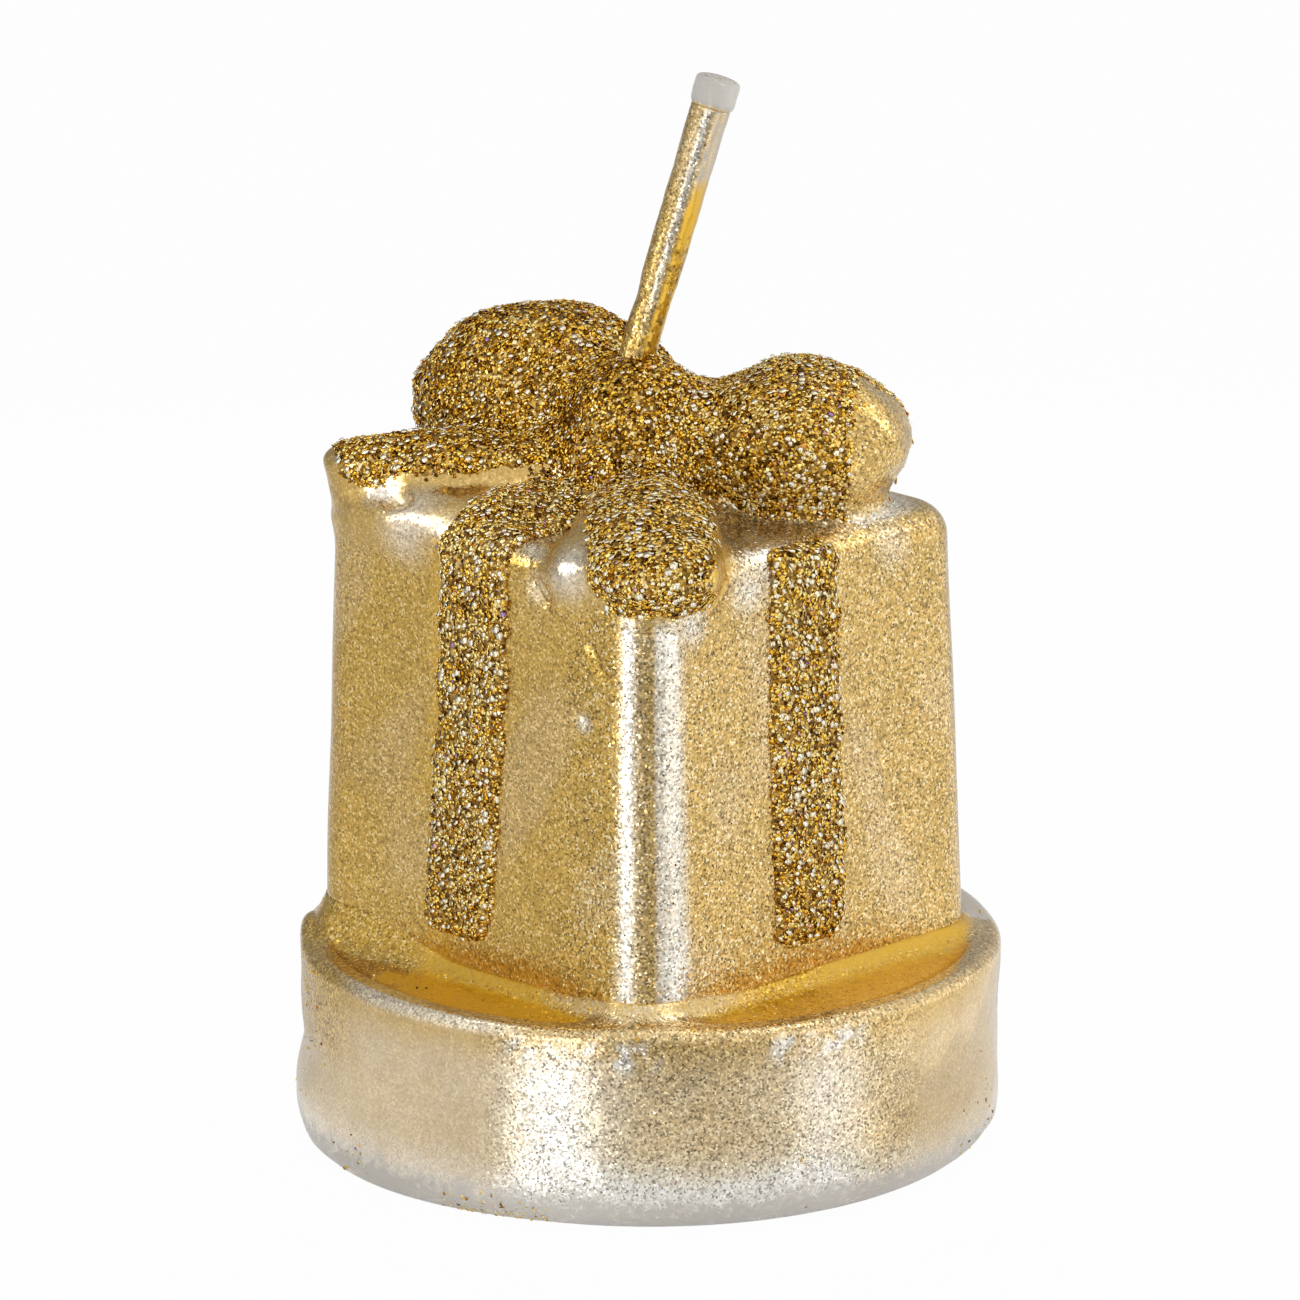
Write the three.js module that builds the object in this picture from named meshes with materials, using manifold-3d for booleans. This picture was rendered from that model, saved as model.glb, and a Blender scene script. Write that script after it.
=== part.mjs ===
// A mini birthday candle: a gilded wax gift box on a round foot, tied with glitter ribbons
// and a bow, with a waxed wick that leans to one side and can be bent by hand.
// Millimetres, +Z up, origin at the centre of the underside.

import * as THREE from "three";
import { mergeVertices } from "three/addons/utils/BufferGeometryUtils.js";
import Module from "manifold-3d";

const wasm = await Module();
wasm.setup();

// Driving dimensions
const seatGap = 0.3; // between two bonded pieces
const crimpGap = 0.1; // round the cord in its neck and in its wax
const reach = 200; // longer than anything here, for cutting tools

const foot = {
  radius: 19,
  height: 11.2,
  bottomRound: 2.2,
  rimRound: 0.7,
  facets: 96,
};

const box = {
  baseSide: 26.05,
  topSide: 24.65,
  height: 24,
  cornerRadius: 3,
  topRound: 1.6,
  skirtHeight: 0.9,
  skirtFlare: 0.9,
  turn: 45,
  offset: -0.42, // the box stands a little to the left on its foot
};

const ribbon = {
  width: 4.4,
  thickness: 0.45,
  bottomMargin: 2.2, // from the foot up to the ribbon's lower end
};
// Each ribbon climbs the face that looks this way, bends over the top edge through its wrap
// and runs on towards the bow. Drift is sideways travel for each millimetre down.
const ribbons = [
  { name: "ribbon_front_left", faces: 225, wrap: 90, run: 4.4, shift: 0.4, drift: -0.062 },
  { name: "ribbon_front_right", faces: 315, wrap: 55, run: 0, shift: -0.7, drift: 0 },
  { name: "ribbon_back_right", faces: 45, wrap: 90, run: 4.4, shift: 0, drift: 0 },
  { name: "ribbon_back_left", faces: 135, wrap: 55, run: 0, shift: 0, drift: 0 },
];

const cord = { radius: 0.5, x: -0.6, y: -0.5 };
const sustainer = { plateRadius: 6.4, plateThickness: 0.25, neckWall: 0.25, neckHeight: 5, lift: 0.15 };
const wick = {
  lean: 16.2,
  length: 15.3, // from the bend to the tip
  coatRadius: 0.93,
  coatEndRadius: 1.03,
  tipLength: 1.7,
  tipRadius: 1.2,
  tipRound: 0.35,
};

// Heights of the bow's pieces are from the box's top.
const knot = { centre: [-0.6, -0.9, -0.2], size: [5.1, 4.6, 8.2] };
const loopRight = {
  from: [1, -0.9, 3.9],
  to: [14.1, -1.6, 3.5],
  halfWidth: 5.3,
  halfHeight: 4.4,
  neck: 0.72,
};
const loopLeft = {
  from: [2, 4.2, 4.2],
  to: [-12.7, 5.6, 4.1],
  halfWidth: 4.5,
  halfHeight: 5.4,
  neck: 0.95,
};
const tailFront = {
  from: [-0.3, -2.6, 1.9],
  to: [-0.4, -18, -1.1],
  halfWidth: 4.2,
  halfHeight: 2.6,
  neck: 0.55,
};
const tailLeft = {
  from: [-2.4, -0.6, 1.8],
  to: [-17.2, -0.1, 1.1],
  halfWidth: 3,
  halfHeight: 2.2,
  neck: 0.8,
};

// What follows from them
const boxTop = foot.height + box.height;
const channelRadius = cord.radius + crimpGap;
const neckRadius = channelRadius + sustainer.neckWall;
const bend = new THREE.Vector3(cord.x, cord.y, boxTop + knot.centre[2] + knot.size[2]);
const socketRadius = wick.coatRadius + seatGap;
const arcSteps = 3; // path divisions, which make twice as many segments on an arc
const cornerSteps = 8; // segments round one upright corner of the box

const finishes = {
  lacquer: new THREE.MeshStandardMaterial({ color: 0xc9a95c, roughness: 0.38, metalness: 0.7 }),
  glitter: new THREE.MeshStandardMaterial({ color: 0xb07e22, roughness: 0.5, metalness: 0.8 }),
  wax: new THREE.MeshStandardMaterial({ color: 0xe4e2dc, roughness: 0.5, metalness: 0 }),
  cotton: new THREE.MeshStandardMaterial({ color: 0xe8dfc8, roughness: 0.9, metalness: 0 }),
  tinplate: new THREE.MeshStandardMaterial({ color: 0xb9bcc0, roughness: 0.35, metalness: 1 }),
};

// Solids and geometries
function solidFrom(geometry) {
  const bare = geometry.clone();
  bare.deleteAttribute("normal");
  bare.deleteAttribute("uv");
  const merged = mergeVertices(bare, 1e-4);
  return new wasm.Manifold(
    new wasm.Mesh({
      numProp: 3,
      vertProperties: merged.attributes.position.array,
      triVerts: new Uint32Array(merged.index.array),
    }),
  );
}

function geometryFrom(solid) {
  const mesh = solid.getMesh();
  const geometry = new THREE.BufferGeometry();
  geometry.setAttribute("position", new THREE.BufferAttribute(mesh.vertProperties, 3));
  geometry.setIndex(new THREE.BufferAttribute(mesh.triVerts, 1));
  const flat = geometry.toNonIndexed();
  flat.computeVertexNormals();
  return flat;
}

// A closed skin over rings of equally many points, ending in a point at either end.
function skinOver(rings, firstPoint, lastPoint) {
  const count = rings[0].length;
  const points = [...rings.flat(), firstPoint, lastPoint];
  const first = points.length - 2;
  const last = points.length - 1;
  const faces = [];
  for (let i = 0; i < count; i++) {
    const next = (i + 1) % count;
    faces.push(first, next, i);
    for (let ring = 0; ring < rings.length - 1; ring++) {
      const low = ring * count;
      const high = low + count;
      faces.push(low + i, low + next, high + next, low + i, high + next, high + i);
    }
    const top = (rings.length - 1) * count;
    faces.push(top + i, top + next, last);
  }
  const geometry = new THREE.BufferGeometry().setFromPoints(points);
  geometry.setIndex(faces);
  return geometry;
}

function turned(path) {
  const geometry = new THREE.LatheGeometry(path.getPoints(arcSteps), foot.facets);
  return geometry.rotateX(Math.PI / 2);
}

function rod(radius, low, high, facets = 24) {
  const geometry = new THREE.CylinderGeometry(radius, radius, high - low, facets);
  return geometry.rotateX(Math.PI / 2).translate(0, 0, (low + high) / 2);
}

function onCord(geometry) {
  return geometry.translate(cord.x, cord.y, 0);
}

function cutAll(solid, tools) {
  return tools.reduce((left, tool) => left.subtract(tool), solid);
}

// Foot
function footGeometry() {
  const plateTop = sustainer.lift + sustainer.plateThickness + seatGap;
  const neckTop = sustainer.lift + sustainer.neckHeight + seatGap;
  const bottomCentre = foot.radius - foot.bottomRound;
  const rimCentre = foot.radius - foot.rimRound;
  const rimStart = foot.height - foot.rimRound;
  const path = new THREE.Path();
  path.moveTo(0, 0);
  path.lineTo(bottomCentre, 0);
  path.absarc(bottomCentre, foot.bottomRound, foot.bottomRound, -Math.PI / 2, 0, false);
  path.lineTo(foot.radius, rimStart);
  path.absarc(rimCentre, rimStart, foot.rimRound, 0, Math.PI / 2, false);
  path.lineTo(0, foot.height);
  const pockets = [
    rod(sustainer.plateRadius + seatGap, -reach, plateTop, foot.facets),
    rod(neckRadius + crimpGap, -reach, neckTop),
    rod(channelRadius, -reach, reach),
  ];
  const puck = solidFrom(turned(path));
  return geometryFrom(cutAll(puck, pockets.map((pocket) => solidFrom(onCord(pocket)))));
}

// Gift box
function roundedSquare(side, radius, height) {
  const inner = side / 2 - radius;
  const ring = [];
  for (let corner = 0; corner < 4; corner++) {
    const diagonal = (Math.PI / 2) * (corner + 0.5);
    const centreX = inner * Math.sign(Math.cos(diagonal));
    const centreY = inner * Math.sign(Math.sin(diagonal));
    for (let step = 0; step <= cornerSteps; step++) {
      const angle = (Math.PI / 2) * (corner + step / cornerSteps);
      const x = centreX + radius * Math.cos(angle);
      const y = centreY + radius * Math.sin(angle);
      ring.push(new THREE.Vector3(x, y, height));
    }
  }
  return ring;
}

// Turns what was drawn about the box's own middle and stands it on the foot.
function onBox(geometry, degrees) {
  geometry.rotateZ(THREE.MathUtils.degToRad(degrees));
  return geometry.translate(box.offset, 0, foot.height);
}

function wallSide(height) {
  return box.baseSide + ((box.topSide - box.baseSide) * height) / box.height;
}

// The box's solid, standing at its own base, grown by grow on every outside face.
function boxSolid(grow = 0) {
  const rings = [];
  const ring = (side, radius, height) => rings.push(roundedSquare(side + 2 * grow, radius + grow, height));
  const skirtSteps = 4;
  for (let i = 0; i <= skirtSteps; i++) {
    const angle = (i / skirtSteps) * (Math.PI / 2);
    const flare = box.skirtFlare * (1 - Math.sin(angle));
    const height = box.skirtHeight * (1 - Math.cos(angle));
    ring(wallSide(height) + 2 * flare, box.cornerRadius + flare, height);
  }
  const roundSteps = 5;
  for (let i = 0; i <= roundSteps; i++) {
    const angle = (i / roundSteps) * (Math.PI / 2);
    const inset = box.topRound * (1 - Math.cos(angle));
    const height = box.height - box.topRound * (1 - Math.sin(angle));
    ring(box.topSide - 2 * inset, box.cornerRadius - inset, height + grow);
  }
  const skin = skinOver(rings, new THREE.Vector3(0, 0, 0), new THREE.Vector3(0, 0, box.height + grow));
  return solidFrom(onBox(skin, box.turn));
}

function giftBoxGeometry() {
  const channel = solidFrom(onCord(rod(channelRadius, -reach, reach)));
  return geometryFrom(boxSolid().subtract(channel));
}

// Ribbons
function ribbonShape({ wrap, run }, grow) {
  const inner = seatGap - grow;
  const outer = seatGap + ribbon.thickness + grow;
  const low = ribbon.bottomMargin - grow;
  const edge = box.height - box.topRound;
  const centre = box.topSide / 2 - box.topRound;
  const turnTo = THREE.MathUtils.degToRad(wrap) + (run > 0 ? 0 : grow / box.topRound);
  const shape = new THREE.Shape();
  shape.moveTo(wallSide(low) / 2 + inner, low);
  shape.lineTo(wallSide(low) / 2 + outer, low);
  shape.absarc(centre, edge, box.topRound + outer, 0, turnTo, false);
  if (run > 0) {
    shape.lineTo(centre - run - grow, box.height + outer);
    shape.lineTo(centre - run - grow, box.height + inner);
  }
  shape.absarc(centre, edge, box.topRound + inner, turnTo, 0, true);
  return shape;
}

function ribbonSolid(form, grow = 0) {
  const width = ribbon.width + 2 * grow;
  const settings = { depth: width, bevelEnabled: false, curveSegments: 2 * arcSteps };
  const strip = new THREE.ExtrudeGeometry(ribbonShape(form, grow), settings);
  strip.translate(0, 0, -width / 2);
  strip.rotateX(Math.PI / 2);
  const points = strip.attributes.position;
  for (let i = 0; i < points.count; i++) {
    const drop = Math.max(0, box.height - box.topRound - points.getZ(i));
    points.setY(i, points.getY(i) + form.shift + form.drift * drop);
  }
  return solidFrom(onBox(strip, form.faces));
}

// Bow
function overTop([x, y, z]) {
  return new THREE.Vector3(x, y, boxTop + z);
}

// A puffed tongue of wax from one point to another, thinner where it leaves the knot.
function puffSolid(form, grow = 0, steps = 16, sides = 24) {
  const from = overTop(form.from);
  const to = overTop(form.to);
  const along = to.clone().sub(from).normalize();
  from.addScaledVector(along, -grow);
  to.addScaledVector(along, grow);
  const side = new THREE.Vector3(0, 0, 1).cross(along).normalize();
  const up = along.clone().cross(side);
  const rings = [];
  for (let i = 1; i < steps; i++) {
    const angle = (Math.PI * i) / steps;
    const share = (1 - Math.cos(angle)) / 2;
    const slim = form.neck + (1 - form.neck) * THREE.MathUtils.smoothstep(share, 0, 0.6);
    const centre = from.clone().lerp(to, share);
    const ring = [];
    for (let k = 0; k < sides; k++) {
      const turn = (2 * Math.PI * k) / sides;
      const across = (form.halfWidth * slim + grow) * Math.sin(angle) * Math.cos(turn);
      const rise = (form.halfHeight * slim + grow) * Math.sin(angle) * Math.sin(turn);
      ring.push(centre.clone().addScaledVector(side, across).addScaledVector(up, rise));
    }
    rings.push(ring);
  }
  return solidFrom(skinOver(rings, from, to));
}

function knotSolid(grow = 0) {
  const [width, depth, height] = knot.size;
  const mound = new THREE.SphereGeometry(1, 32, 20).rotateX(Math.PI / 2);
  mound.scale(width + grow, depth + grow, height + grow);
  const centre = overTop(knot.centre);
  mound.translate(centre.x, centre.y, centre.z);
  return solidFrom(mound);
}

function bowSolids() {
  const underneath = [boxSolid(seatGap), ...ribbons.map((form) => ribbonSolid(form, seatGap))];
  const knotTool = knotSolid(seatGap);
  const loopTools = [puffSolid(loopLeft, seatGap), puffSolid(loopRight, seatGap)];
  const channel = solidFrom(onCord(rod(channelRadius, -reach, bend.z)));
  const socket = solidFrom(new THREE.SphereGeometry(socketRadius, 24, 16).translate(...bend.toArray()));
  return {
    bow_knot: cutAll(knotSolid(), [...underneath, channel, socket]),
    bow_loop_left: cutAll(puffSolid(loopLeft), [...underneath, knotTool]),
    bow_loop_right: cutAll(puffSolid(loopRight), [...underneath, knotTool]),
    bow_tail_front: cutAll(puffSolid(tailFront), [...underneath, knotTool, ...loopTools]),
    bow_tail_left: cutAll(puffSolid(tailLeft), [...underneath, knotTool, ...loopTools]),
  };
}

// Wick and its holder
function sustainerGeometry() {
  const bottom = sustainer.lift;
  const plateTop = bottom + sustainer.plateThickness;
  const neckTop = bottom + sustainer.neckHeight;
  const path = new THREE.Path();
  path.moveTo(channelRadius, neckTop);
  path.lineTo(channelRadius, bottom);
  path.lineTo(sustainer.plateRadius, bottom);
  path.lineTo(sustainer.plateRadius, plateTop);
  path.lineTo(neckRadius, plateTop);
  path.lineTo(neckRadius, neckTop);
  path.lineTo(channelRadius, neckTop);
  return onCord(turned(path));
}

// The free wick's pieces stand along +Z from the bend, before the wick is leant.
const cordFoot = 0.2;
const coatEnd = wick.length - wick.tipLength;

function wickCoatGeometry() {
  const path = new THREE.Path();
  path.moveTo(0, -wick.coatRadius);
  path.absarc(0, 0, wick.coatRadius, -Math.PI / 2, 0, false);
  path.lineTo(wick.coatEndRadius, coatEnd);
  path.lineTo(channelRadius, coatEnd);
  path.lineTo(channelRadius, cordFoot - crimpGap);
  path.lineTo(0, cordFoot - crimpGap);
  return new THREE.LatheGeometry(path.getPoints(arcSteps), 32).rotateX(Math.PI / 2);
}

function wickTipGeometry() {
  const low = coatEnd + crimpGap;
  const edge = wick.tipRadius - wick.tipRound;
  const path = new THREE.Path();
  path.moveTo(channelRadius, low);
  path.lineTo(edge, low);
  path.absarc(edge, low + wick.tipRound, wick.tipRound, -Math.PI / 2, 0, false);
  path.lineTo(wick.tipRadius, wick.length - wick.tipRound);
  path.absarc(edge, wick.length - wick.tipRound, wick.tipRound, 0, Math.PI / 2, false);
  path.lineTo(channelRadius, wick.length);
  path.lineTo(channelRadius, low);
  return new THREE.LatheGeometry(path.getPoints(arcSteps), 32).rotateX(Math.PI / 2);
}

// Assembly
const candle = new THREE.Group();

function add(parent, name, geometry, finish) {
  const mesh = new THREE.Mesh(geometry, finish);
  mesh.name = name;
  parent.add(mesh);
}

add(candle, "foot", footGeometry(), finishes.lacquer);
add(candle, "gift_box", giftBoxGeometry(), finishes.lacquer);
for (const form of ribbons) {
  add(candle, form.name, geometryFrom(ribbonSolid(form)), finishes.glitter);
}
for (const [name, solid] of Object.entries(bowSolids())) {
  add(candle, name, geometryFrom(solid), finishes.glitter);
}
add(candle, "wick_sustainer", sustainerGeometry(), finishes.tinplate);
const buriedCordTop = bend.z - socketRadius;
add(candle, "wick_cord_buried", onCord(rod(cord.radius, sustainer.lift, buriedCordTop)), finishes.cotton);

const freeWick = new THREE.Group();
freeWick.position.copy(bend);
freeWick.rotation.y = THREE.MathUtils.degToRad(wick.lean);
add(freeWick, "wick_cord_free", rod(cord.radius, cordFoot, wick.length), finishes.cotton);
add(freeWick, "wick_wax_coat", wickCoatGeometry(), finishes.lacquer);
add(freeWick, "wick_tip", wickTipGeometry(), finishes.wax);
candle.add(freeWick);

export default candle;
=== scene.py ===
from math import atan2, cos, hypot, pi, radians, sin, sqrt

import bpy
import numpy as np
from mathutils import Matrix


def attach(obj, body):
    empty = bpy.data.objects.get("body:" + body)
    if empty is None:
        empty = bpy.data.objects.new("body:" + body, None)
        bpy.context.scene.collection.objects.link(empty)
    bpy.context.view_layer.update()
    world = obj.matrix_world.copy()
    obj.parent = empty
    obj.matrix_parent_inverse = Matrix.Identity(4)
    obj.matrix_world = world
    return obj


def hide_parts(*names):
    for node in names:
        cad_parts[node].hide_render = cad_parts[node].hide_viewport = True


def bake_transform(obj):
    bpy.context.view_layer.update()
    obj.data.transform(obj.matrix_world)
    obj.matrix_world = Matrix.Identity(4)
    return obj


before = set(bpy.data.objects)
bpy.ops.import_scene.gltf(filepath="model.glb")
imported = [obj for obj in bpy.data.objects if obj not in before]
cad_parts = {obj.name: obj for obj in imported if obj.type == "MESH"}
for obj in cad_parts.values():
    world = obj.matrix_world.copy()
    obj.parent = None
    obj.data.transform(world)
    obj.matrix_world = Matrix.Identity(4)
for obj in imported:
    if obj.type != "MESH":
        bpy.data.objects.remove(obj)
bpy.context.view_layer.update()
mm = 0.001
scene = bpy.context.scene
print("candle frame loaded")


def addObject(name, data):
    item = bpy.data.objects.new(name, data)
    scene.collection.objects.link(item)
    return item


# Camera, at the photograph's angle
camera = {"elevation": 15.24, "distance": 0.4, "lookAt": 0.02671, "lens": 205.9}

lens = bpy.data.cameras.new("photoCamera")
lens.lens = camera["lens"]
lens.sensor_width = 36
lens.clip_start = 0.01
viewer = addObject("photoCamera", lens)
tilt = radians(camera["elevation"])
back, up = camera["distance"] * cos(tilt), camera["distance"] * sin(tilt)
viewer.location = (0, -back, camera["lookAt"] + up)
viewer.rotation_euler = (pi / 2 - tilt, 0, 0)
scene.camera = viewer

# Studio: soft panels that stand on the table round the candle. Azimuth is counted from the front towards
# the right; near and far are how far a panel's lower and upper edges are from the wick.
panels = {
    # azimuth, near, far, low, high, width, radiance
    "lowLeft": (-21, 0.0255, 0.040, 0.0003, 0.0145, 0.0095, 0.7),
    "highLeft": (-24.5, 0.040, 0.080, 0.0145, 0.052, 0.013, 2.15),
    "lowRight": (42, 0.0255, 0.040, 0.0003, 0.0145, 0.011, 0.35),
    "highRight": (47, 0.040, 0.080, 0.0145, 0.052, 0.022, 0.6),
    "cardRight": (96, 0.034, 0.110, 0.0003, 0.065, 0.050, 0.27),
    "edgeRight": (84, 0.032, 0.024, 0.044, 0.060, 0.007, 1.5),
    "edgeLeft": (-66, 0.027, 0.024, 0.040, 0.050, 0.008, 2.4),
    "fillBack": (190, 0.16, 0.12, 0.05, 0.16, 0.12, 1.6),
    "topRight": (75, 0.085, 0.050, 0.14, 0.18, 0.06, 1.4),
}
for name, (azimuth, near, far, low, high, width, radiance) in panels.items():
    light = bpy.data.lights.new(name, "AREA")
    light.shape = "RECTANGLE"
    light.size, light.size_y = width, hypot(far - near, high - low)
    light.energy = radiance * pi * light.size * light.size_y
    holder = addObject(name, light)
    turn = radians(azimuth)
    away = (near + far) / 2
    holder.location = (away * sin(turn), -away * cos(turn), (low + high) / 2)
    holder.rotation_euler = (pi / 2 + atan2(far - near, high - low), 0, turn)
    holder.visible_camera = False
    holder.visible_glossy = name != "fillBack"
scene.view_settings.view_transform = "Standard"


def addNode(tree, kind, inputs=None, **settings):
    node = tree.nodes.new("ShaderNode" + kind)
    for key, value in settings.items():
        setattr(node, key, value)
    for key, value in (inputs or {}).items():
        if isinstance(value, bpy.types.NodeSocket):
            tree.links.new(value, node.inputs[key])
        else:
            node.inputs[key].default_value = value
    return node


def newMaterial(name):
    material = bpy.data.materials.new(name)
    material.use_nodes = True
    material.node_tree.nodes.clear()
    return material, material.node_tree


def surfaceOf(tree, kind, inputs):
    shader = addNode(tree, kind, inputs)
    addNode(tree, "OutputMaterial", {"Surface": shader.outputs[0]})


def mapped(tree, value, low, high, toLow, toHigh):
    return addNode(tree, "MapRange", {0: value, 1: low, 2: high, 3: toLow, 4: toHigh}).outputs[0]


def worked(tree, operation, first, second=0.0):
    return addNode(tree, "Math", {0: first, 1: second}, operation=operation).outputs[0]


def workedVector(tree, operation, first, second=(0, 0, 0), output="Vector"):
    return addNode(tree, "VectorMath", {0: first, 1: second}, operation=operation).outputs[output]


def scaledVector(tree, vector, amount):
    return addNode(tree, "VectorMath", {0: vector, "Scale": amount}, operation="SCALE").outputs[0]


def ownPlace(tree):
    return addNode(tree, "TexCoord").outputs["Object"]


def noise(tree, place, scale, detail, rough=0.5):
    inputs = {"Vector": place, "Scale": scale, "Detail": detail, "Roughness": rough}
    return addNode(tree, "TexNoise", inputs).outputs[0]


def bumped(tree, height, strength, distance):
    inputs = {"Height": height, "Strength": strength, "Distance": distance}
    return addNode(tree, "Bump", inputs).outputs[0]


def lightPath(tree):
    # 1 for what the camera sees itself, and 1 for what is seen mirrored or through wax
    path = addNode(tree, "LightPath").outputs
    return path["Is Camera Ray"], worked(tree, "MAXIMUM", path["Is Glossy Ray"], path["Is Transmission Ray"])


# White behind the candle, a little darker where its far side looks
surround = {"diffuse": 0.42, "mirrored": 1.0, "farSide": 0.38}
world = bpy.data.worlds.new("studioWhite")
scene.world = world
world.use_nodes = True
tree = world.node_tree
tree.nodes.clear()
seen, inMirror = lightPath(tree)
direction = addNode(tree, "TexCoord").outputs["Generated"]
far = workedVector(tree, "DOT_PRODUCT", direction, (-0.45, 0.89, 0), "Value")
mirrorLevel = mapped(tree, far, 0.1, 0.9, surround["mirrored"], surround["farSide"])
unseen = mapped(tree, inMirror, 0, 1, surround["diffuse"], mirrorLevel)
level = mapped(tree, seen, 0, 1, unseen, 1.0)
sky = addNode(tree, "Background", {"Color": (1, 1, 1, 1), "Strength": level})
addNode(tree, "OutputWorld", {"Surface": sky.outputs[0]})

# The table, white to the camera and grey in the candle's mirror where the photographer's side is dark
tableLook = {
    "white": 0.92, "reach": 1.5, "glow": 0.975, "mirrorGlow": 0.62,
    "darkAhead": (6, 22, 8), "darkLeft": (-112, -88), "darkFrom": (0.035, 0.06),
}
floorMaterial, tree = newMaterial("paleTable")
white = tableLook["white"]
matt = addNode(tree, "BsdfDiffuse", {"Color": (white, white, white, 1)})
glow = addNode(tree, "Emission", {"Color": (1, 1, 1, 1), "Strength": 1.0})
seen, inMirror = lightPath(tree)
place = ownPlace(tree)
spread = addNode(tree, "SeparateXYZ", {0: place})
ahead = worked(tree, "MULTIPLY", spread.outputs[1], -1)
turn = worked(tree, "ARCTAN2", spread.outputs[0], ahead)
away = workedVector(tree, "LENGTH", place, output="Value")
middle, dimmed, darkest = (radians(side) for side in tableLook["darkAhead"])
aside = worked(tree, "ABSOLUTE", worked(tree, "SUBTRACT", turn, middle))
frontShade = mapped(tree, aside, darkest, dimmed, 1, 0)
frontShade = worked(tree, "MULTIPLY", frontShade, mapped(tree, away, *tableLook["darkFrom"], 0, 0.95))
leftShade = mapped(tree, turn, *(radians(side) for side in tableLook["darkLeft"]), 0.5, 0)
shade = worked(tree, "ADD", frontShade, leftShade)
mirrorShare = worked(tree, "MULTIPLY", inMirror, mapped(tree, shade, 0, 1, tableLook["mirrorGlow"], 0))
share = mapped(tree, seen, 0, 1, mirrorShare, tableLook["glow"])
surfaceOf(tree, "MixShader", {0: share, 1: matt.outputs[0], 2: glow.outputs[0]})
floorMesh = bpy.data.meshes.new("table")
reach = tableLook["reach"]
corners = [(-reach, -reach, 0), (reach, -reach, 0), (reach, reach, 0), (-reach, reach, 0)]
floorMesh.from_pydata(corners, [], [(0, 1, 2, 3)])
floorMesh.materials.append(floorMaterial)
table = addObject("table", floorMesh)
print("studio ready")


# Shape helpers. Lengths are in millimetres up to the mesh itself.
def smooth(value, low, high):
    t = np.clip((value - low) / (high - low), 0, 1)
    return t * t * (3 - 2 * t)


def band(value, start, full, fade, end):
    return smooth(value, start, full) * smooth(value, end, fade)


def hump(value, at, wide):
    return np.exp(-((value - at) / wide) ** 2)


def length(vectors):
    return np.sqrt((vectors * vectors).sum(-1))


def unit(vectors):
    return vectors / np.maximum(length(vectors), 1e-9)[..., None]


def wobble(points, wave, seed, waves=9):
    # smooth noise between about -1 and 1 with this wavelength
    rng = np.random.default_rng(seed)
    total = np.zeros(len(points))
    for _ in range(waves):
        direction = unit(rng.normal(size=3)) * (2 * pi / wave) * rng.uniform(0.6, 1.5)
        total += np.sin(points @ direction + rng.uniform(0, 2 * pi))
    return total / sqrt(waves) * 0.8


def softMin(a, b, width):
    h = np.maximum(width - np.abs(a - b), 0) / width
    return np.minimum(a, b) - h * h * width / 4


def softCut(solid, hole, width):
    return -softMin(-solid, hole, width)


def outward(points, field, step=0.02):
    normal = np.empty_like(points)
    for axis in range(3):
        shift = np.zeros(3)
        shift[axis] = step
        normal[:, axis] = field(points + shift) - field(points - shift)
    return unit(normal)


def settle(points, own, whole, reach, steps=14):
    # moves points out or in to the surface of the whole, but no further than reach from their own form
    normal = outward(points, own)
    for _ in range(steps):
        move = np.minimum(-whole(points), reach - own(points))
        points = points + normal * np.clip(move, -0.3, 0.3)[:, None] * 0.8
    return points


def around(count, first=0):
    return first + 2 * pi * np.arange(count) / count


def ringQuads(rings, count, wrap=False):
    index = np.arange(rings * count).reshape(rings, count)
    if wrap:
        index = np.vstack([index, index[:1]])
    low, high = index[:-1], index[1:]
    return np.stack([low, np.roll(low, -1, 1), np.roll(high, -1, 1), high], -1).reshape(-1, 4)


def capped(points, rings, count, first, last):
    # closes a tube with a fan of triangles at each end
    ends = np.arange(count)
    low = np.stack([np.full(count, len(points)), np.roll(ends, -1), ends], 1)
    top = (rings - 1) * count + ends
    high = np.stack([top, np.roll(top, -1), np.full(count, len(points) + 1)], 1)
    return np.concatenate([points, first[None], last[None]]), [ringQuads(rings, count), low, high]


def pieceLabel(name):
    words = name.split("_")
    return words[0] + "".join(word.capitalize() for word in words[1:])


def makePiece(name, points, polygons, material, marks, replaces=None, body="candle"):
    sizes = np.concatenate([np.full(len(p), p.shape[1]) for p in polygons])
    corners = np.concatenate([p.ravel() for p in polygons]).astype(np.int32)
    starts = np.concatenate([[0], np.cumsum(sizes)[:-1]]).astype(np.int32)
    mesh = bpy.data.meshes.new(name)
    mesh.vertices.add(len(points))
    mesh.vertices.foreach_set("co", (points * mm).astype(np.float32).ravel())
    mesh.loops.add(len(corners))
    mesh.loops.foreach_set("vertex_index", corners)
    mesh.polygons.add(len(sizes))
    mesh.polygons.foreach_set("loop_start", starts)
    mesh.update(calc_edges=True)
    for key, values in marks.items():
        kind, part = ("FLOAT_COLOR", "color") if values.ndim == 2 else ("FLOAT", "value")
        layer = mesh.attributes.new(key, kind, "POINT")
        layer.data.foreach_set(part, values.astype(np.float32).ravel())
    mesh.materials.append(material)
    piece = addObject(name, mesh)
    if body:
        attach(piece, body)
    if replaces:
        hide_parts(*replaces)
    return piece


def finishAndLightMarks(count, bare=0, pool=0, pale=0, glue=0, grain=1):
    # what the lacquer's material reads: bare wax, pooled lacquer, pale lacquer with the painted highlights,
    # glitter's bed, and grain
    every = [np.clip(value, 0, 1.6) * np.ones(count) for value in (bare, pool, pale, glue, grain)]
    return {"finishAndLight": np.stack(every[:4], 1), "grain": every[4]}


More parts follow.
